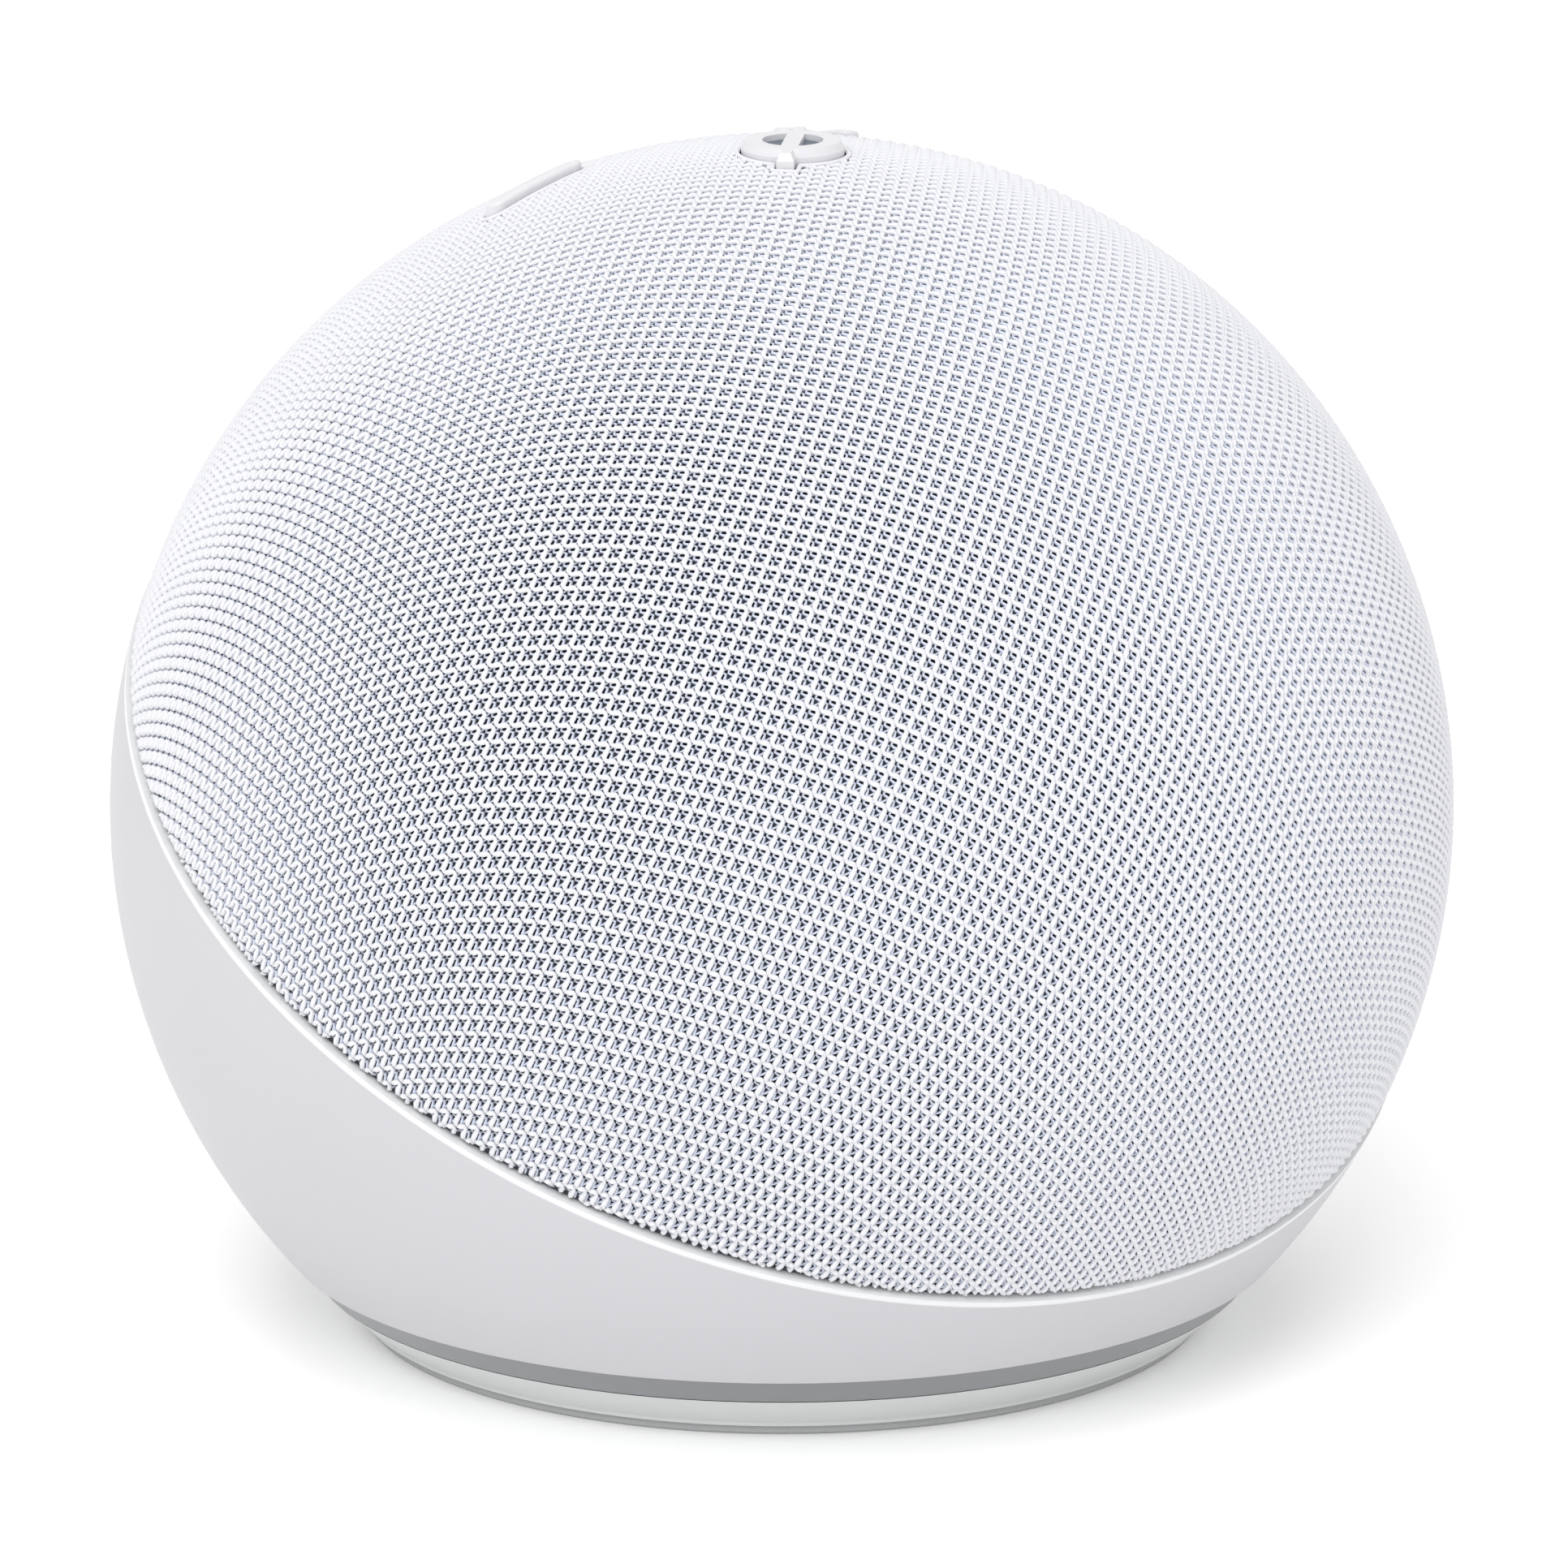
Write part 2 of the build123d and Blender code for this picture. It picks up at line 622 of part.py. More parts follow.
def mic_off_button():
    """Circle with a slash: sloping sides, flat top, two half-moon recesses."""
    at, icon, flange_r = BUTTONS["mic_off_button"]
    stem = column(icon, at, CARRIER_Z - 0.2, MIC_TOP)
    face = stem.faces().sort_by(Axis.Z)[-1]
    stem = chamfer(face.edges(), 0.28, 0.6, reference=face)
    stem = fillet(stem.faces().sort_by(Axis.Z)[-1].edges(), 0.08)
    body = stem + plunger(at, flange_r)
    return body - Pos(at[0], at[1], MIC_TOP - 1.2) * extrude(window_moons(), 2)


def mic_off_windows():
    return Pos(MIC_AT[0], MIC_AT[1], MIC_TOP - 1.2) * extrude(window_moons(0.02), 0.75)


NODES = (
    knit_cover, grille_dome, rear_shell, dome_screws, light_ring, base_plate, foot_pad, base_screws, led_board,
    led_chips, led_ribbon, heat_spreader, thermal_pad, main_board, main_board_screws, board_shields, board_chips,
    power_parts, power_jack, audio_jack, wifi_antennas, board_connectors, baffle, chamber, chamber_gasket,
    chamber_screws, wire_grommet, driver_basket, driver_gasket, driver_screws, driver_top_plate, driver_magnet,
    driver_yoke, voice_coil, driver_cone, dust_cap, surround, spider, speaker_terminals, speaker_wires,
    button_board, button_carrier, button_board_screws, tact_switches, microphones, top_ribbon,
    mic_off_button, mic_off_windows, volume_down_button, volume_up_button, action_button,
)
for piece in NODES:
    export_step(piece(), f"parts/{piece.__name__}.step")
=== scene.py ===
import math
import bmesh
import bpy
from mathutils import Matrix, Vector


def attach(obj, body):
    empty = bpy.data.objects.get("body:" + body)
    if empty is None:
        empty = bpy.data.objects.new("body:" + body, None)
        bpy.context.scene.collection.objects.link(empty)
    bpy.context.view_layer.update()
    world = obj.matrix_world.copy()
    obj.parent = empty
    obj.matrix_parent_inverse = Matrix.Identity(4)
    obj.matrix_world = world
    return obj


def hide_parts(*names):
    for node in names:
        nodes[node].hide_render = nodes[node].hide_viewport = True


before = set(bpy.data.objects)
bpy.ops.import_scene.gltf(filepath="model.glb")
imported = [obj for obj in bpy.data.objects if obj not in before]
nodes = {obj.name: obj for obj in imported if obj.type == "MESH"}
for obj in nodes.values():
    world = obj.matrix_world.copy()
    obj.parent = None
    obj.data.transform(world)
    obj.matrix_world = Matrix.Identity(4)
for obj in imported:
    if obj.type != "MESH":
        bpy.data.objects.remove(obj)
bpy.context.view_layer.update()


# ---- Rear shell ----------------------------------------------------------------------------------
# The lower bowl of the case: one white moulding with a fine satin grain, open at the leaning seam.
# It carries everything, and its chamfered lip stands a little proud of the knit.

class Signal:
    """A value that runs through a node tree; arithmetic on it adds Math nodes."""

    def __init__(self, web, socket):
        self.web = web
        self.socket = socket

    def maths(self, operation, *values):
        made = self.web.node("ShaderNodeMath", {"operation": operation}, dict(enumerate(values)))
        return Signal(self.web, made.outputs[0])

    def __add__(self, other):
        return self.maths("ADD", self, other)

    def __sub__(self, other):
        return self.maths("SUBTRACT", self, other)

    def __rsub__(self, other):
        return self.maths("SUBTRACT", other, self)

    def __mul__(self, other):
        return self.maths("MULTIPLY", self, other)

    def __truediv__(self, other):
        return self.maths("DIVIDE", self, other)

    def __gt__(self, other):
        return self.maths("GREATER_THAN", self, other)

    def __lt__(self, other):
        return self.maths("LESS_THAN", self, other)

    __radd__ = __add__

    def floor(self):
        return self.maths("FLOOR", self)

    def fract(self):
        return self.maths("FRACT", self)

    def cos(self):
        return self.maths("COSINE", self)

    def sin(self):
        return self.maths("SINE", self)

    def root(self):
        return self.maths("SQRT", self)

    def away(self):
        return self.maths("ABSOLUTE", self)

    def least(self, other):
        return self.maths("MINIMUM", self, other)

    def most(self, other):
        return self.maths("MAXIMUM", self, other)


class Web:
    """A node tree that is built node by node."""

    def __init__(self, tree):
        self.tree = tree

    def node(self, kind, settings=None, sockets=None):
        made = self.tree.nodes.new(kind)
        for name, value in (settings or {}).items():
            setattr(made, name, value)
        for key, value in (sockets or {}).items():
            if isinstance(value, Signal):
                value = value.socket
            if isinstance(value, bpy.types.NodeSocket):
                self.tree.links.new(value, made.inputs[key])
            else:
                made.inputs[key].default_value = value
        return made

    def value(self, kind, settings=None, sockets=None, output=0):
        return Signal(self, self.node(kind, settings, sockets).outputs[output])


class Finish(Web):
    """A material: one shader with constants on its sockets, and patterns fed into a few of them."""

    def __init__(self, name, colour, roughness, **constants):
        self.material = bpy.data.materials.new(name)
        self.material.use_nodes = True
        self.material.diffuse_color = (*colour, 1)
        super().__init__(self.material.node_tree)
        self.shader = self.tree.nodes["Principled BSDF"]
        self.colour = (*colour, 1)
        self.shader.inputs["Base Color"].default_value = self.colour
        self.shader.inputs["Roughness"].default_value = roughness
        for key, value in constants.items():
            self.shader.inputs[key.replace("_", " ")].default_value = value
        self.place = self.node("ShaderNodeTexCoord").outputs["Object"]

    def noise(self, scale, detail=2.0, stretch=(1, 1, 1)):
        """Noise in patches of about one metre over the scale."""
        moved = self.node("ShaderNodeMapping", {}, {"Vector": self.place, "Scale": stretch})
        sockets = {"Vector": moved.outputs[0], "Scale": scale, "Detail": detail}
        return self.value("ShaderNodeTexNoise", {}, sockets)

    def threads(self, way, scale):
        """Parallel threads across one axis, as a wave."""
        sockets = {"Vector": self.place, "Scale": scale}
        return self.value("ShaderNodeTexWave", {"bands_direction": way}, sockets, 1)

    def blend(self, factor, first, second):
        return self.node("ShaderNodeMix", {"data_type": "RGBA"}, {0: factor, 6: first, 7: second}).outputs[2]

    def tint(self, factor, amount):
        """Base colour, darker by up to the amount where the factor is 1."""
        dark = tuple(c * (1 - amount) for c in self.colour[:3]) + (1,)
        self.set("Base Color", self.blend(factor, self.colour, dark))

    def set(self, name, value):
        socket = value.socket if isinstance(value, Signal) else value
        self.tree.links.new(socket, self.shader.inputs[name])

    def bump(self, height, distance, strength=1.0):
        made = self.node("ShaderNodeBump", {}, {"Height": height, "Distance": distance, "Strength": strength})
        self.set("Normal", made.outputs[0])


def grained(name, colour, roughness, spread, noise, shade, depth, **constants):
    """A finish with one grain, given as noise settings, that shades, roughens and raises it."""
    made = Finish(name, colour, roughness, **constants)
    grain = made.noise(*noise)
    made.tint(grain, shade)
    made.set("Roughness", roughness + grain * spread)
    made.bump(grain, depth)
    return made


def moulded(name, colour, roughness, grain=2500.0, depth=0.00001, **constants):
    """Moulded plastic: a spark-etched grain, slightly uneven gloss and colour."""
    made = Finish(name, colour, roughness, **constants)
    patches = made.noise(90.0, 3.0)
    fine = made.noise(grain, 3.0)
    made.tint(patches * 0.6 + fine * 0.4, 0.035)
    made.set("Roughness", roughness - 0.05 + patches * 0.06 + fine * 0.04)
    made.bump(fine, depth)
    return made


def dress(finish, *names):
    """Gives CAD nodes their finish."""
    for name in names:
        mesh = nodes[name].data
        mesh.materials.clear()
        mesh.materials.append(finish.material)


MM = 0.001
BALL_R = 50.0 * MM
BALL_CENTRE = Vector((0, 0, 39.0 * MM))
SEAM_DROP = 2.75 * MM       # from the ball's centre down to the seam plane
SHELL_WHITE = (0.520, 0.515, 0.537)
LIP_HIGHLIGHT = (0.74, 0.745, 0.75, 1)
LIP_DEPTH = 0.6 * MM
SEAM_LEAN = math.radians(29.6)
SEAM_LEVEL = BALL_CENTRE.z * math.cos(SEAM_LEAN) - SEAM_DROP
LIP_HIGHLIGHT_FADE = 3.0              # how sharply the painted highlight on the lip comes in

shell_plastic = moulded("shell plastic", SHELL_WHITE, 0.42, Specular_IOR_Level=0.4)
# Painted highlight: a band just under the seam is blended to a lighter white along the lip.
level = shell_plastic.value("ShaderNodeVectorMath", {"operation": "DOT_PRODUCT"},
                            {0: shell_plastic.place, 1: (0, -math.sin(SEAM_LEAN), math.cos(SEAM_LEAN))}, 1)
lip = ((level - SEAM_LEVEL) / LIP_DEPTH + 1.0).most(0.0) * LIP_HIGHLIGHT_FADE
body = shell_plastic.shader.inputs["Base Color"].links[0].from_socket
shell_plastic.set("Base Color", shell_plastic.blend(lip.least(1.0), body, LIP_HIGHLIGHT))
dress(shell_plastic, "rear_shell")


# ---- Light ring ----------------------------------------------------------------------------------
# A frosted translucent ring under the shell, unlit and so grey. It is clipped in round the floor,
# and the lamps of the board above shine into it from inside.

frosted = moulded("frosted ring plastic", (0.205, 0.21, 0.22), 0.38, 1400.0, 0.000006, Coat_Weight=0.15,
                  Coat_Roughness=0.3)
dress(frosted, "light_ring")


# ---- Base plate and foot -------------------------------------------------------------------------
# A light grey moulded plate closes the bottom. A soft ring, cut from sheet rubber and stuck on with
# its own adhesive, hides the screws and keeps the speaker from sliding.

base_plastic = moulded("base plastic", (0.60, 0.61, 0.605), 0.4, 2200.0)
dress(base_plastic, "base_plate")

rubber = grained("foot rubber", (0.41, 0.415, 0.42), 0.68, 0.2, (3800.0, 4.0), 0.12, 0.00003)
dress(rubber, "foot_pad")


# ---- Screws --------------------------------------------------------------------------------------
# Zinc-plated cross-head screws hold the dome, the base plate, the boards, the chamber and the
# driver. The heads are cold-formed, with fine turning marks and a faint blue-yellow plating film.

def plated(name, colour, roughness, streak=(1, 1, 14)):
    """Plated or pressed metal with drawn marks and a thin uneven film."""
    made = Finish(name, colour, roughness, Metallic=1.0)
    marks = made.noise(1500.0, 3.0, streak)
    film = made.noise(160.0, 2.0)
    filmed = (0.86 * colour[0], 0.86 * colour[1], 0.92 * colour[2], 1)
    made.set("Base Color", made.blend(film, made.colour, filmed))
    made.set("Roughness", roughness - 0.06 + marks * 0.14)
    made.bump(marks, 0.000008)
    return made


zinc = plated("zinc plating", (0.60, 0.60, 0.62), 0.34)
dress(zinc, "dome_screws", "base_screws", "main_board_screws", "chamber_screws", "driver_screws",
      "button_board_screws")


# ---- Boards --------------------------------------------------------------------------------------
# Green boards: the main one on four bosses, the lamp ring on the floor, the button board under the
# crown and two aerials on edge. Tracks show as a lighter green under the solder resist.

resist = Finish("solder resist", (0.012, 0.11, 0.055), 0.28, Coat_Weight=0.4, Coat_Roughness=0.12)
along = resist.node("ShaderNodeMapping", {}, {"Vector": resist.place, "Scale": (900, 900, 900)})
cells = resist.node("ShaderNodeTexVoronoi", {"feature": "F1", "distance": "CHEBYCHEV"},
                    {"Vector": along.outputs[0], "Scale": 0.55, "Randomness": 0.7})
track = resist.value("ShaderNodeMath", {"operation": "PINGPONG"}, {0: cells.outputs["Distance"], 1: 0.22})
line = (track > 0.14) * 1.0
pads = resist.node("ShaderNodeTexVoronoi", {"feature": "F1"}, {"Vector": resist.place, "Scale": 520.0})
dots = Signal(resist, pads.outputs["Distance"]) < 0.16
tracks = resist.blend(line, resist.colour, (0.03, 0.20, 0.095, 1))
resist.set("Base Color", resist.blend(dots, tracks, (0.72, 0.66, 0.45, 1)))
resist.set("Roughness", 0.24 + resist.noise(700.0) * 0.12)
resist.bump(line + dots, 0.00003)
dress(resist, "main_board", "led_board", "button_board", "wifi_antennas")


# ---- Parts on the boards -------------------------------------------------------------------------
# Black moulded chips, switches and connectors, tinned cans pressed from thin sheet, capacitors and
# inductors, the small lamps of the ring, and the microphones beside the buttons.

chip_black = moulded("moulded package", (0.022, 0.022, 0.025), 0.55, 5200.0, 0.000015)
dress(chip_black, "board_chips", "power_parts", "board_connectors", "tact_switches")

tin = plated("tinned sheet", (0.63, 0.63, 0.65), 0.3, (1, 10, 1))
dress(tin, "board_shields", "microphones")

lamp = moulded("lamp package", (0.80, 0.76, 0.50), 0.25, 3000.0, 0.000004, Coat_Weight=0.5)
dress(lamp, "led_chips")

ribbon = Finish("flat ribbon", (0.70, 0.68, 0.62), 0.35, Coat_Weight=0.3)
lanes = ribbon.value("ShaderNodeSeparateXYZ", {}, {0: ribbon.place}, 0)
lane = ((lanes * 2000.0).fract() - 0.5).away() * 2.0
ribbon.tint(lane > 0.55, 0.35)
ribbon.set("Roughness", 0.3 + ribbon.noise(400.0) * 0.15)
ribbon.bump(lane, 0.00004)
dress(ribbon, "led_ribbon", "top_ribbon")


# ---- Heat spreader -------------------------------------------------------------------------------
# A finned block of cast zinc between floor and main board, with a soft grey pad on top that takes
# the heat out of the processor side of the board.

cast = grained("cast zinc", (0.42, 0.42, 0.43), 0.42, 0.25, (1900.0, 5.0), 0.3, 0.00006, Metallic=1.0)
dress(cast, "heat_spreader")

soft_pad = moulded("gap pad", (0.30, 0.36, 0.42), 0.8, 1600.0, 0.00004)
dress(soft_pad, "thermal_pad")


# ---- Sockets -------------------------------------------------------------------------------------
# The round power inlet and the audio outlet: glossy black mouldings on the board, whose noses end
# in openings at the back of the shell.

socket_black = moulded("socket plastic", (0.02, 0.02, 0.022), 0.3, 2600.0, 0.000006, Coat_Weight=0.2)
dress(socket_black, "power_jack", "audio_jack")


# ---- Grille dome and chamber ---------------------------------------------------------------------
# Black glass-filled mouldings: the pierced dome that carries the knit, the baffle behind it, the
# closed chamber at the driver's back and the button carrier, with foam gaskets in the joints.

inner_black = moulded("inner plastic", (0.028, 0.028, 0.031), 0.5, 1700.0, 0.00002)
dress(inner_black, "grille_dome", "baffle", "chamber", "button_carrier")

foam = Finish("foam", (0.018, 0.018, 0.02), 0.95)
bubbles = foam.node("ShaderNodeTexVoronoi", {}, {"Vector": foam.place, "Scale": 2600.0})
foam.tint(bubbles.outputs["Distance"], 0.6)
foam.set("Roughness", 0.85 + foam.noise(900.0) * 0.15)
foam.bump(bubbles.outputs["Distance"], 0.00012)
dress(foam, "chamber_gasket", "driver_gasket", "wire_grommet")


# ---- Driver --------------------------------------------------------------------------------------
# A small full-range loudspeaker: pressed steel basket, ferrite magnet between plate and yoke, paper
# cone with its dust cap on a copper coil, hung in a rubber surround and a corrugated cloth spider.

DRIVER_LEAN = math.radians(62)

basket_steel = plated("basket steel", (0.10, 0.10, 0.105), 0.42, (1, 1, 6))
dress(basket_steel, "driver_basket")
pole_steel = plated("pole steel", (0.52, 0.51, 0.50), 0.36, (1, 1, 9))
dress(pole_steel, "driver_top_plate", "driver_yoke", "speaker_terminals")

ferrite = grained("ferrite", (0.035, 0.035, 0.038), 0.5, 0.3, (2400.0, 5.0), 0.4, 0.00004)
dress(ferrite, "driver_magnet")

copper = Finish("coil wire", (0.62, 0.25, 0.10), 0.3, Metallic=1.0)
down = copper.value("ShaderNodeVectorMath", {"operation": "DOT_PRODUCT"},
                    {0: copper.place, 1: (0, -math.sin(DRIVER_LEAN), math.cos(DRIVER_LEAN))}, 1)
turns = ((down * 5000.0).fract() - 0.5).away()
# The tint darkens the grooves between the turns: painted shade.
copper.tint(turns * 2.0, 0.45)
copper.set("Roughness", 0.22 + turns * 0.3)
copper.bump(1 - turns, 0.00006)
dress(copper, "voice_coil")

paper = grained("cone paper", (0.045, 0.045, 0.05), 0.78, 0.2, (1500.0, 6.0, (1, 1, 3)), 0.45, 0.00008)
dress(paper, "driver_cone", "dust_cap")

soft_rubber = moulded("surround rubber", (0.02, 0.02, 0.022), 0.6, 2100.0, 0.00001)
dress(soft_rubber, "surround")

spider_cloth = Finish("spider cloth", (0.62, 0.45, 0.16), 0.9)
warp = spider_cloth.threads("X", 900.0)
weft = spider_cloth.threads("Y", 900.0)
spider_cloth.tint(warp * weft, 0.4)
spider_cloth.set("Roughness", 0.95 - warp * 0.1)
spider_cloth.bump(warp.most(weft), 0.00006)
dress(spider_cloth, "spider")

wire_red = moulded("wire jacket", (0.42, 0.025, 0.02), 0.4, 1200.0, 0.000008)
dress(wire_red, "speaker_wires")


# ---- Buttons -------------------------------------------------------------------------------------
# Four white keys that go straight down: microphone off under the crown, volume down and up, and
# the action dot behind. The first has smoked windows over its warning lamp.

key_plastic = moulded("key plastic", (0.66, 0.658, 0.68), 0.36, 2800.0, 0.000005)
dress(key_plastic, "mic_off_button", "volume_down_button", "volume_up_button", "action_button")

smoked = moulded("smoked window", (0.15, 0.175, 0.215), 0.5, 1500.0, 0.000003, Specular_IOR_Level=0.12)
dress(smoked, "mic_off_windows")


# ---- Knit backing --------------------------------------------------------------------------------
# A thin dark scrim lies on the grille dome. It is cut with the openings of the four keys, and the open knit
# is stretched over it, so it shows as black at the bottom of every stitch: partly the dark of the dome,
# partly painted shade.

SCRIM_R = 49.42 * MM

# Near black: partly the dark of the dome behind the knit, partly painted shade deep in the stitch holes.
scrim_black_and_painted_shade = Finish("scrim", (0.035, 0.038, 0.048), 0.9)
mesh_x = scrim_black_and_painted_shade.threads("X", 1500.0)
mesh_z = scrim_black_and_painted_shade.threads("Z", 1500.0)
scrim_black_and_painted_shade.tint(mesh_x * mesh_z, 0.5)
scrim_black_and_painted_shade.set("Roughness", 0.95 - mesh_x * 0.1)
scrim_black_and_painted_shade.bump(mesh_x.most(mesh_z), 0.00003)


def piece(name, mesh, finish):
    """A finished mesh as a piece of the housing."""
    mesh.name = name
    mesh.materials.clear()
    mesh.materials.append(finish.material)
    made = bpy.data.objects.new(name, mesh)
    bpy.context.scene.collection.objects.link(made)
    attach(made, "housing")
    return made


def scrim_mesh():
    """The knit's own solid, thinned from outside down to the scrim."""
    form = bmesh.new()
    form.from_mesh(nodes["knit_cover"].data)
    bmesh.ops.remove_doubles(form, verts=form.verts, dist=0.000002)
    for vertex in form.verts:
        arm = vertex.co - BALL_CENTRE
        if arm.length > SCRIM_R:
            vertex.co = BALL_CENTRE + arm * (SCRIM_R / arm.length)
    made = bpy.data.meshes.new("scrim")
    form.to_mesh(made)
    form.free()
    return made


scrim = piece("knit_backing", scrim_mesh(), scrim_black_and_painted_shade)
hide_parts("knit_cover")


# ---- Knit ----------------------------------------------------------------------------------------
# One warp-knitted sheet of white polyester yarn, pulled over the dome and held under the shell's
# lip. Its face yarns zigzag between two columns and touch at each turn, which leaves a net of
# six-sided holes; finer bluish yarns of the back cross each hole.

KEYS = ("mic_off_button", "volume_down_button", "volume_up_button", "action_button")
SEAM_N = (-math.sin(SEAM_LEAN), math.cos(SEAM_LEAN))
SEAM_V = (math.cos(SEAM_LEAN), math.sin(SEAM_LEAN))
STITCHES_PER_RADIAN = 35.0
COLUMN_STRETCH = (1.033, 0.156, 0.114, 0.029)    # even, to the sides, along the column, front to back
ROW_STRETCH = (1.065, 0.033, 0.0945, -0.020)     # even, to the sides, bow of the rows, front to back
LIP_GAP = 0.16 * MM
LIP_TUCK = 0.7 * MM         # over this stretch the knit dips in under the lip
TUCK_SLOPE = 0.45
KEY_GAP = 0.16 * MM

yarn_white = Finish("face yarn", (0.755, 0.757, 0.79), 0.72, Sheen_Weight=0.25, Sheen_Roughness=0.5)
fibre = yarn_white.noise(9000.0, 3.0)
patch = yarn_white.noise(140.0, 3.0)
yarn_white.tint(fibre * 0.6 + patch * 0.4, 0.10)
yarn_white.set("Roughness", 0.62 + fibre * 0.25)
yarn_white.bump(fibre, 0.00003)

yarn_blue = grained("back yarn", (0.70, 0.745, 0.86), 0.7, 0.2, (9000.0, 3.0), 0.08, 0.00003,
                    Sheen_Weight=0.2, Sheen_Roughness=0.5)


def on_ball(web, column, row, height):
    """Where a point of the flat knit, counted in columns and rows, lies on the ball, its outward
    direction, and how far it is above the lip."""
    s, t = column / STITCHES_PER_RADIAN, row / STITCHES_PER_RADIAN
    ss, tt = s * s, t * t
    even, sides, along_it, back_to_front = COLUMN_STRETCH
    across = s * (even + ss * sides + tt * along_it + t * back_to_front)
    even, sides, bow, back_to_front = ROW_STRETCH
    up = t * (even + ss * sides) + ss * bow + tt * back_to_front
    turn = (across * across + up * up + 1e-9).root()
    fall, sweep = turn.cos(), turn.sin() / turn
    y = fall * SEAM_N[0] + up * sweep * SEAM_V[0]
    z = fall * SEAM_N[1] + up * sweep * SEAM_V[1]
    out = web.value("ShaderNodeCombineXYZ", {}, {0: across * sweep, 1: y, 2: z})
    lip = fall * BALL_R + (SEAM_DROP - LIP_GAP)
    tuck = (LIP_TUCK - lip).most(0.0) * TUCK_SLOPE
    arm = web.node("ShaderNodeVectorMath", {"operation": "SCALE"}, {0: out, 3: height + BALL_R - tuck})
    place = web.value("ShaderNodeVectorMath", {"operation": "ADD"}, {0: arm.outputs[0], 1: BALL_CENTRE})
    return place, out, lip


def yarn_tree(name, path, section):
    """A node tree for one layer of yarns. The path gives column, row, height and radius of a point
    from the yarn's number and how far along it is; the section is the profile's sides and flatness."""
    tree = bpy.data.node_groups.new(name, "GeometryNodeTree")
    web = Web(tree)
    for label, kind in (("First yarn", "Int"), ("Yarns", "Int"), ("Points", "Int"), ("Material", "Material")):
        tree.interface.new_socket(label, in_out="INPUT", socket_type="NodeSocket" + kind)
    tree.interface.new_socket("Geometry", in_out="OUTPUT", socket_type="NodeSocketGeometry")
    given = {socket.name: socket for socket in tree.nodes.new("NodeGroupInput").outputs if socket.name}

    line = web.node("GeometryNodeMeshLine", {}, {"Count": given["Points"], "Offset": (0, 0, MM)})
    posts = web.node("GeometryNodeMeshLine", {}, {"Count": given["Yarns"], "Offset": (MM, 0, 0)})
    rows = web.node("GeometryNodeInstanceOnPoints", {},
                    {"Points": posts.outputs[0], "Instance": line.outputs[0]})
    rows = web.node("GeometryNodeRealizeInstances", {}, {0: rows.outputs[0]})
    index = web.value("GeometryNodeInputIndex")
    number = (index / Signal(web, given["Points"])).floor()
    step = index - number * Signal(web, given["Points"])
    column, row, height, thick = path(number + Signal(web, given["First yarn"]), step)
    place, out, lip = on_ball(web, column, row, height)

    shaped = web.node("GeometryNodeStoreNamedAttribute", {"data_type": "FLOAT_VECTOR"},
                      {0: rows.outputs[0], "Name": "out", "Value": out})
    shaped = web.node("GeometryNodeStoreNamedAttribute", {"data_type": "FLOAT"},
                      {0: shaped.outputs[0], "Name": "thick", "Value": thick})
    shaped = web.node("GeometryNodeStoreNamedAttribute", {"data_type": "FLOAT"},
                      {0: shaped.outputs[0], "Name": "lip", "Value": lip})
    shaped = web.node("GeometryNodeSetPosition", {}, {0: shaped.outputs[0], "Position": place})
    keys = web.node("GeometryNodeJoinGeometry")
    for key in KEYS:
        seen = web.node("GeometryNodeObjectInfo", {}, {"Object": nodes[key]})
        tree.links.new(seen.outputs["Geometry"], keys.inputs[0])
    near = web.value("GeometryNodeProximity", {"target_element": "FACES"}, {0: keys.outputs[0]}, "Distance")
    kept_thick = web.value("GeometryNodeInputNamedAttribute", {"data_type": "FLOAT"}, {"Name": "thick"})
    kept_lip = web.value("GeometryNodeInputNamedAttribute", {"data_type": "FLOAT"}, {"Name": "lip"})
    cut = (near < kept_thick + KEY_GAP).most(kept_lip < 0.0)
    kept = web.node("GeometryNodeDeleteGeometry", {"domain": "POINT"}, {0: shaped.outputs[0], 1: cut})
    curve = web.node("GeometryNodeMeshToCurve", {}, {0: kept.outputs[0]})
    outward = web.value("GeometryNodeInputNamedAttribute", {"data_type": "FLOAT_VECTOR"}, {"Name": "out"})
    curve = web.node("GeometryNodeSetCurveNormal", {"mode": "FREE"}, {0: curve.outputs[0], "Normal": outward})
    profile = web.node("GeometryNodeCurvePrimitiveCircle", {}, {"Resolution": section[0], "Radius": 1.0})
    profile = web.node("GeometryNodeTransform", {}, {0: profile.outputs[0], "Scale": section[1]})
    solid = web.node("GeometryNodeCurveToMesh", {},
                     {0: curve.outputs[0], 1: profile.outputs[0], "Scale": kept_thick, "Fill Caps": True})
    solid = web.node("GeometryNodeSetShadeSmooth", {}, {0: solid.outputs[0]})
    for spent in ("out", "thick", "lip"):
        solid = web.node("GeometryNodeRemoveAttribute", {}, {0: solid.outputs[0], "Name": spent})
    solid = web.node("GeometryNodeRealizeInstances", {}, {0: solid.outputs[0]})
    solid = web.node("GeometryNodeSetMaterial", {}, {0: solid.outputs[0], "Material": given["Material"]})
    tree.links.new(solid.outputs[0], tree.nodes.new("NodeGroupOutput").inputs[0])
    return tree


def grown(tree, first, yarns, points, finish):
    """The plain mesh that a yarn tree makes for a run of yarns."""
    holder = bpy.data.objects.new("holder", bpy.data.meshes.new("holder"))
    bpy.context.scene.collection.objects.link(holder)
    growth = holder.modifiers.new("yarns", "NODES")
    growth.node_group = tree
    wanted = {"First yarn": first, "Yarns": yarns, "Points": points, "Material": finish.material}
    for socket in tree.interface.items_tree:
        if socket.in_out == "INPUT":
            growth[socket.identifier] = wanted[socket.name]
    seen = holder.evaluated_get(bpy.context.evaluated_depsgraph_get())
    mesh = bpy.data.meshes.new_from_object(seen)
    bpy.data.objects.remove(holder)
    return mesh


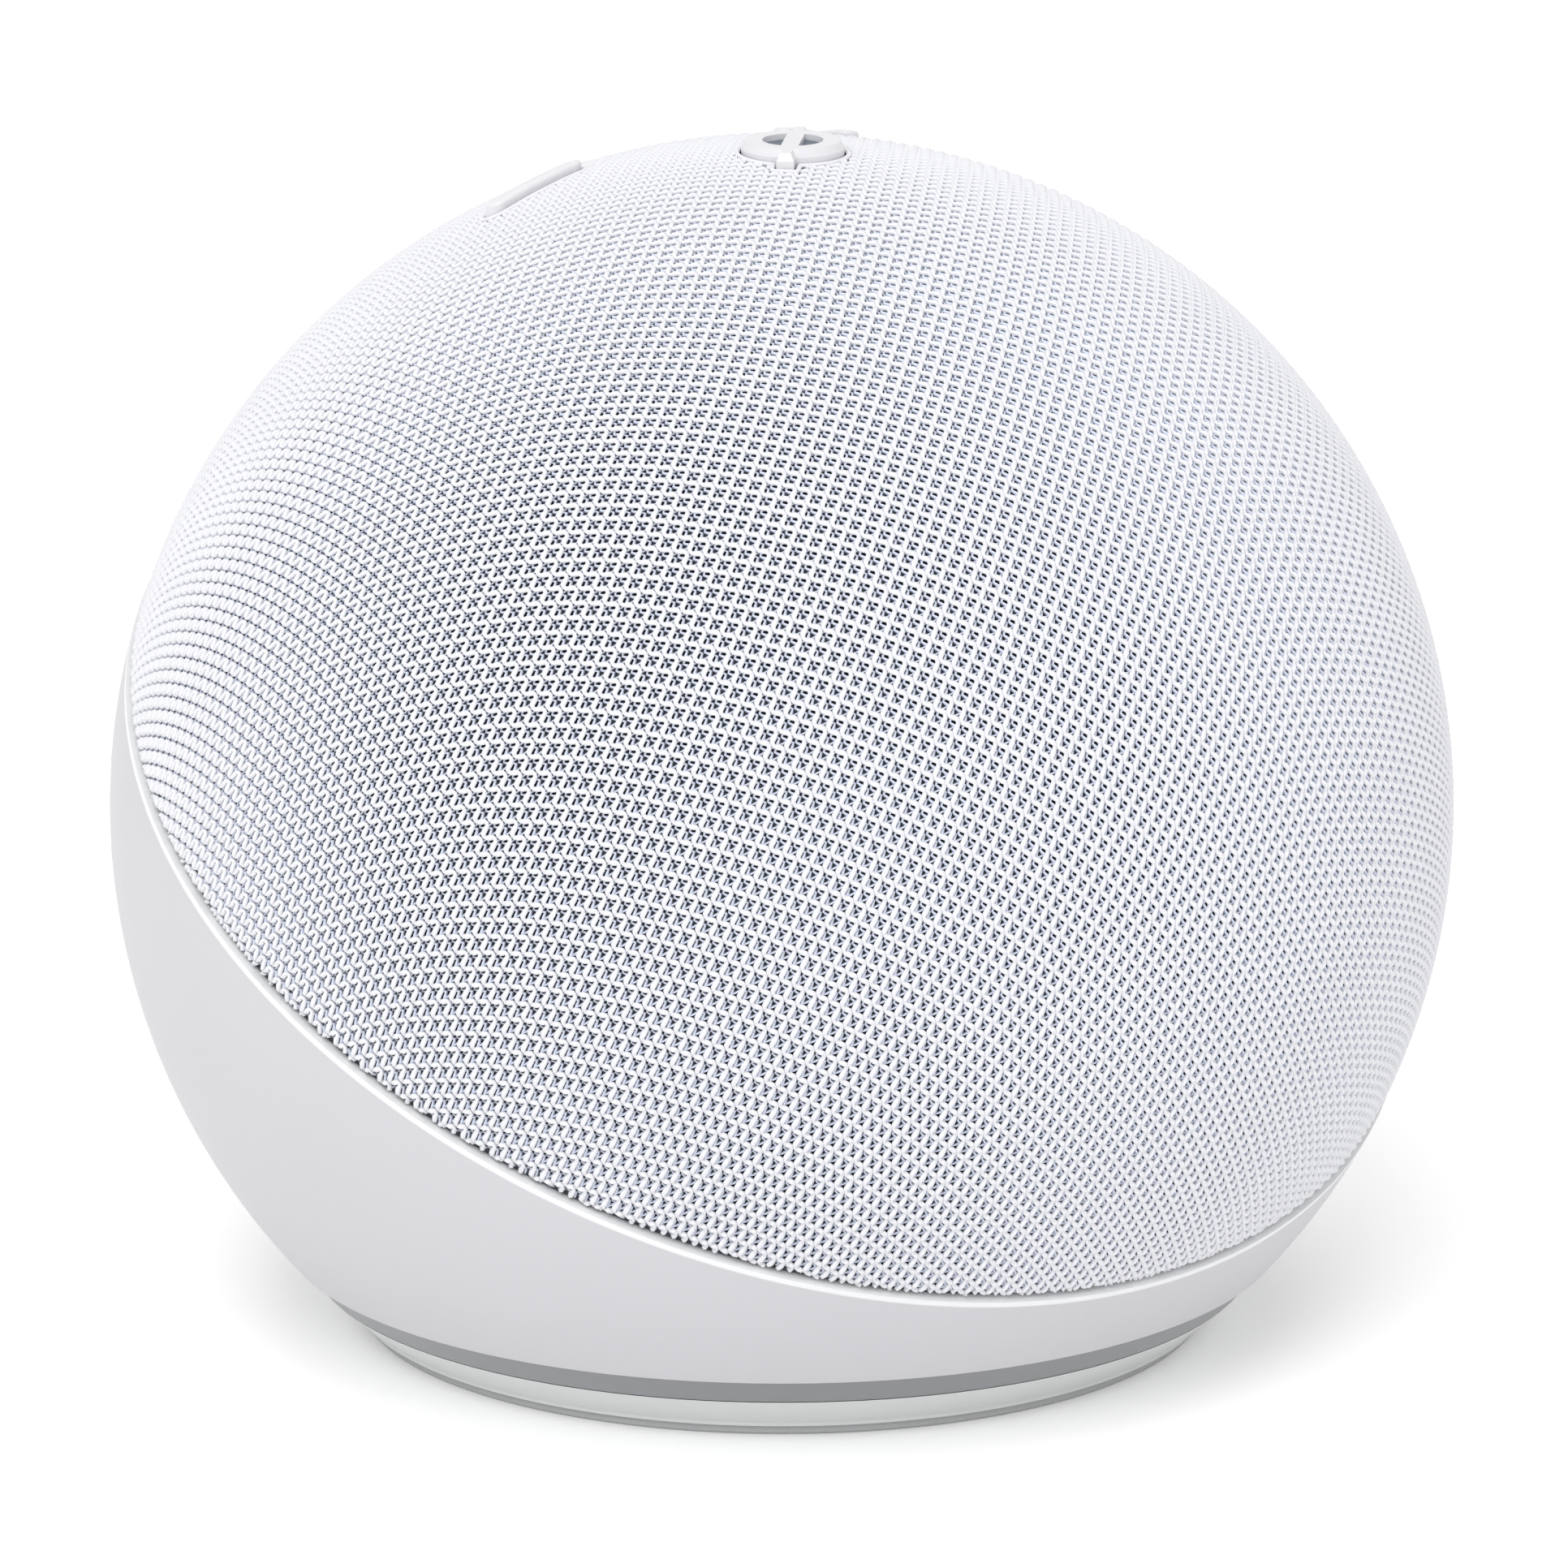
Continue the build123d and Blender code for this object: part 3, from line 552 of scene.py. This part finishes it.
TURN_ROUND = 2 * math.pi
YARNS = 180                 # side by side, half of them left of the middle
HALF_ROWS = 224
FIRST_ROW = -106            # where they begin, in half rows from the middle
FACE_STEPS = 4              # points to a half row
FACE_R = 0.235 * MM
FACE_DEPTH = 0.24 * MM
FACE_SWAY = 0.33            # to each side, where 1 is from yarn to yarn
FACE_SQUARE = 0.28          # keeps a yarn at its turn a little longer
BACK_STEPS = 2
BACK_R = 0.175 * MM
BACK_DEPTH = 0.40 * MM
BACK_SWAY = 0.37
BACK_SHIFT = 0.22           # in half rows
CROSS_R = 0.12 * MM
CROSS_DEPTH = 0.46 * MM
CROSS_SHIFT = 0.17          # in rows
CROSS_POINTS = 184          # two to a column


def face_path(yarn, step):
    """Zigzag between two columns, thick in the legs, and dipping under the next stitch at its turn."""
    row = step / FACE_STEPS + FIRST_ROW
    sway = ((row + yarn) * math.pi).cos()
    sway = sway * (1 + FACE_SQUARE - sway * sway * FACE_SQUARE)
    column = (yarn + 0.5 + sway * FACE_SWAY) * 0.5
    height = ((row - 0.3) * TURN_ROUND).cos() * (0.07 * MM) - FACE_DEPTH
    thick = ((row - 0.42) * TURN_ROUND).cos() * (0.035 * MM) + FACE_R
    return column, row * 0.5, height, thick


def back_path(yarn, step):
    """The same zigzag half a stitch further on, deeper and thinner."""
    row = step / BACK_STEPS + FIRST_ROW
    sway = ((row + yarn) * math.pi).cos()
    column = (yarn + 0.5 - sway * BACK_SWAY) * 0.5
    wave = ((row - 0.5) * TURN_ROUND).cos()
    return column, (row + BACK_SHIFT) * 0.5, wave * (0.03 * MM) - BACK_DEPTH, wave * (0.02 * MM) + BACK_R


def cross_path(yarn, step):
    """A fine yarn along each course, sagging in every hole."""
    dip = ((step + yarn) * math.pi).cos()
    row = yarn * 0.5 - CROSS_SHIFT - dip * 0.03
    column = (step - CROSS_POINTS / 2) * 0.5
    return column, row, dip * (0.02 * MM) - CROSS_DEPTH, dip * (0.01 * MM) + CROSS_R


face_tree = yarn_tree("face yarns", face_path, (5, (1, 0.82, 1)))
back_tree = yarn_tree("back yarns", back_path, (3, (1, 1, 1)))
cross_tree = yarn_tree("cross yarns", cross_path, (3, (1, 1, 1)))


def layer(name, tree, bands, first, yarns, points, finish):
    """One layer of yarns, in bands of neighbouring ones."""
    made = []
    for band in range(bands):
        mesh = grown(tree, first + yarns // bands * band, yarns // bands, points, finish)
        made.append(piece("%s_%d" % (name, band + 1), mesh, finish))
    return made


yarn_pieces = layer("knit_face", face_tree, 9, -YARNS // 2, YARNS, HALF_ROWS * FACE_STEPS, yarn_white)
yarn_pieces += layer("knit_back", back_tree, 3, -YARNS // 2, YARNS, HALF_ROWS * BACK_STEPS, yarn_blue)
yarn_pieces += layer("knit_cross", cross_tree, 2, FIRST_ROW, HALF_ROWS, CROSS_POINTS, yarn_blue)


# ---- Bound openings ------------------------------------------------------------------------------
# Round each key the knit is turned in and bound with one thick white thread, which hides the cut
# ends of the yarns and leaves an even narrow gap to the key.

KEY_PLACES = {"mic off": (0, -1.2), "volume down": (-13.5, 12.5), "volume up": (13.5, 12.5),
              "action": (0, 26)}
DOT_R = 3.6                 # key outlines in millimetres
RING_R = 3.8
SLASH = (5.15, 0.65)        # half length and half width
SIGN = (4.2, 0.9)
HEM_R = 0.19 * MM
HEM_DEPTH = 0.13 * MM
HEM_GAP = 0.31              # from the key to the middle of the thread, millimetres
HEM_POINTS = 240
HEM_SIDES = 8


def bar_reach(angle, bar, rounded):
    """How far a ray from the middle of a bar's opening runs before it leaves the opening."""
    half_length, half_width = bar[0] + HEM_GAP, bar[1] + HEM_GAP
    c, s = abs(math.cos(angle)), abs(math.sin(angle)) + 1e-9
    if not rounded:
        return min(half_length / (c + 1e-9), half_width / s)
    straight = half_length - half_width
    if half_width / s * c <= straight:
        return half_width / s
    return straight * c + math.sqrt(max(half_width ** 2 - (straight * s) ** 2, 0))


def key_reach(key, angle):
    """Outline of a key's opening in millimetres, as a distance from its middle."""
    if key == "action":
        return DOT_R + HEM_GAP
    if key == "mic off":
        return max(RING_R + HEM_GAP, bar_reach(angle - math.pi / 4, SLASH, False))
    if key == "volume down":
        return bar_reach(angle, SIGN, True)
    return max(bar_reach(angle, SIGN, True), bar_reach(angle - math.pi / 2, SIGN, True))


def hem_mesh():
    """Closed threads round the four openings, lying on the ball."""
    form = bmesh.new()
    for key, (x, y) in KEY_PLACES.items():
        line = []
        for i in range(HEM_POINTS):
            angle = TURN_ROUND * i / HEM_POINTS
            reach = key_reach(key, angle)
            flat = Vector((x + reach * math.cos(angle), y + reach * math.sin(angle), 0)) * MM
            flat.z = math.sqrt((BALL_R - HEM_DEPTH) ** 2 - flat.x ** 2 - flat.y ** 2)
            line.append(flat)
        rings = []
        for i, point in enumerate(line):
            ahead = (line[(i + 1) % HEM_POINTS] - line[i - 1]).normalized()
            out = point.normalized()
            side = ahead.cross(out).normalized()
            ring = []
            for k in range(HEM_SIDES):
                turn = TURN_ROUND * k / HEM_SIDES
                arm = (out * math.sin(turn) + side * math.cos(turn)) * HEM_R
                ring.append(form.verts.new(BALL_CENTRE + point + arm))
            rings.append(ring)
        for i in range(HEM_POINTS):
            for k in range(HEM_SIDES):
                after = (k + 1) % HEM_SIDES
                corners = (rings[i - 1][k], rings[i - 1][after], rings[i][after], rings[i][k])
                form.faces.new(corners).smooth = True
    bmesh.ops.recalc_face_normals(form, faces=form.faces)
    made = bpy.data.meshes.new("hems")
    form.to_mesh(made)
    form.free()
    return made


hems = piece("knit_hems", hem_mesh(), yarn_white)


# ---- Studio --------------------------------------------------------------------------------------
# A plain pale floor under an even white sky, and one large soft light from the upper left. The
# camera looks from front left and a little above.

FLOOR_HALF = 6              # metres
LIGHT_PLACE = (-0.75, -0.55, 0.95)
LIGHT_POWER = 8.0
LIGHT_SIZE = 0.8

floor_paint = Finish("floor", (0.93, 0.93, 0.93), 0.9, Emission_Color=(1, 1, 1, 1),
                     Emission_Strength=0.12)
floor_paint.set("Roughness", 0.86 + floor_paint.noise(30.0) * 0.06)
floor_mesh = bpy.data.meshes.new("floor")
corners = [(x * FLOOR_HALF, y * FLOOR_HALF, 0) for x, y in ((-1, -1), (1, -1), (1, 1), (-1, 1))]
floor_mesh.from_pydata(corners, [], [(0, 1, 2, 3)])
floor_mesh.materials.append(floor_paint.material)
floor = bpy.data.objects.new("floor", floor_mesh)
bpy.context.scene.collection.objects.link(floor)

sky = bpy.data.worlds.new("sky")
sky.use_nodes = True
sky.node_tree.nodes["Background"].inputs["Color"].default_value = (1, 1, 1, 1)
sky.node_tree.nodes["Background"].inputs["Strength"].default_value = 1.0
bpy.context.scene.world = sky
bpy.context.scene.view_settings.view_transform = "Standard"


def softbox(name, place, power, size):
    """A square area light aimed at the ball."""
    light = bpy.data.lights.new(name, "AREA")
    light.energy = power
    light.size = size
    made = bpy.data.objects.new(name, light)
    made.location = place
    made.rotation_euler = (Vector(place) - BALL_CENTRE).to_track_quat("Z", "Y").to_euler()
    bpy.context.scene.collection.objects.link(made)


softbox("key", LIGHT_PLACE, LIGHT_POWER, LIGHT_SIZE)

TURN = math.radians(-38.6)
RISE = math.radians(15.1)
DISTANCE = 0.8
LENS = 245.8
SENSOR = 36.0
SHIFT_RIGHT = 0.1 * MM
SHIFT_UP = 1.43 * MM
back = Vector((math.sin(TURN) * math.cos(RISE), -math.cos(TURN) * math.cos(RISE), math.sin(RISE)))
right = Vector((math.cos(TURN), math.sin(TURN), 0))
top = back.cross(right)
lens = bpy.data.cameras.new("camera")
lens.sensor_width = SENSOR
lens.lens = LENS
lens.clip_start = 0.01
camera = bpy.data.objects.new("camera", lens)
stand = BALL_CENTRE + back * DISTANCE + right * SHIFT_RIGHT + top * SHIFT_UP
camera.matrix_world = Matrix.Translation(stand) @ Matrix((right, top, back)).transposed().to_4x4()
bpy.context.scene.collection.objects.link(camera)
bpy.context.scene.camera = camera
